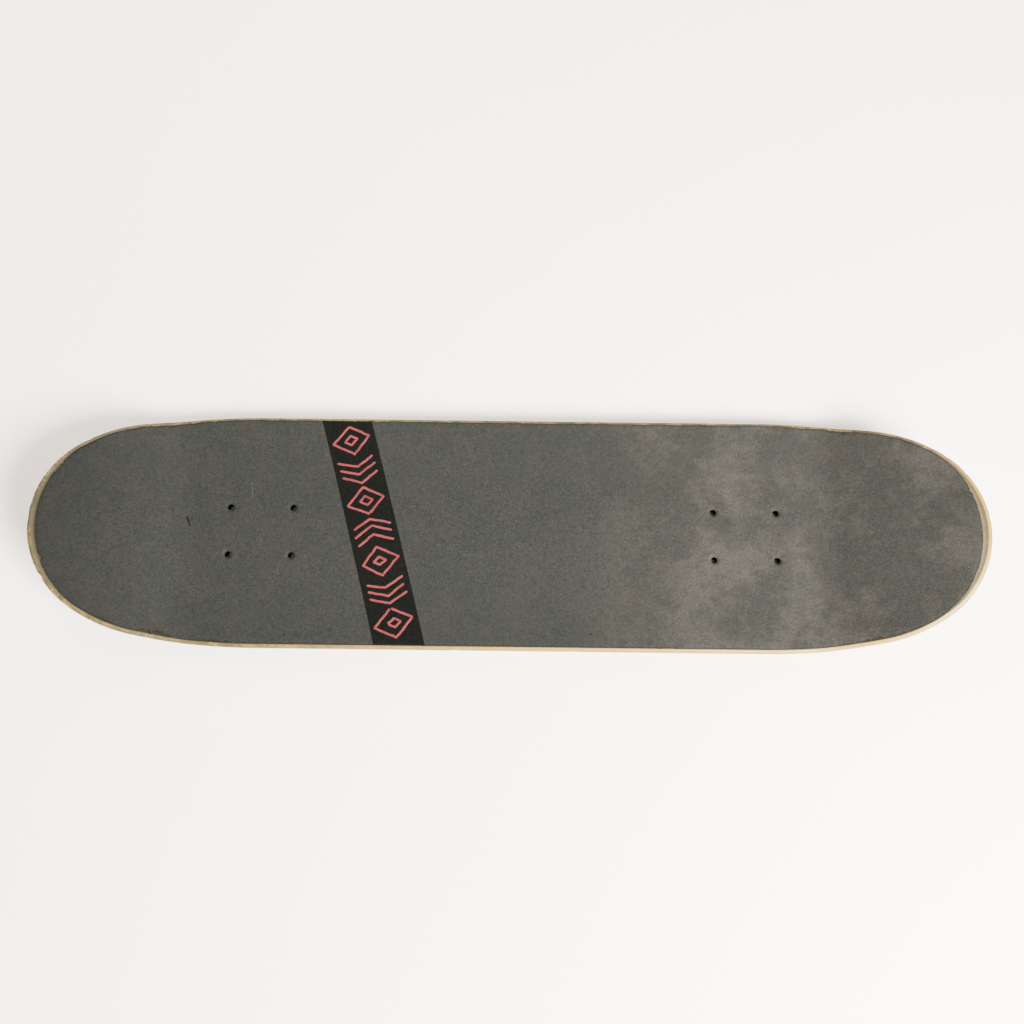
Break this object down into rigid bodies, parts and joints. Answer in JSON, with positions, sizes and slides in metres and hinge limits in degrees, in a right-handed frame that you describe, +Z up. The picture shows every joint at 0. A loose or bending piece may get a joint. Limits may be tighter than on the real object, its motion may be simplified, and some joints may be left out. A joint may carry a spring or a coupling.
{
  "type": "skateboard deck",
  "caption": "Bare street skateboard deck: a pressed maple board with a kick at each end, drilled for two trucks, under worn grip tape with a slanting stripe.",
  "frame": {"origin": "on the flat of the underside, on the middle line, half way between the two truck bolt patterns", "axes": "+X along the board to the nose, +Y to the left side, +Z up through the grip tape"},
  "size_m": [0.7921, 0.2, 0.0567],
  "materials": {
    "bottom_veneer": "worn clear lacquer, scratched, grain along the board",
    "long_grain_veneer": "bare cut edge, grain along the board",
    "cross_grain_veneer": "bare cut edge, grain across the board",
    "top_veneer": "worn, pinkish, grain along the board",
    "grip_tape": "coarse grit, worn grey and dusty",
    "stripe_tape": "near-black tape with red printed line work"
  },
  "bodies": {
    "root": {"bottom_face_ply": "bottom_veneer", "lower_long_ply": "long_grain_veneer", "lower_cross_ply": "cross_grain_veneer", "core_ply": "long_grain_veneer", "upper_cross_ply": "cross_grain_veneer", "upper_long_ply": "long_grain_veneer", "top_face_ply": "top_veneer", "tail_grip": "grip_tape", "stripe_grip": "stripe_tape", "nose_grip": "grip_tape"}
  },
  "joints": []
}
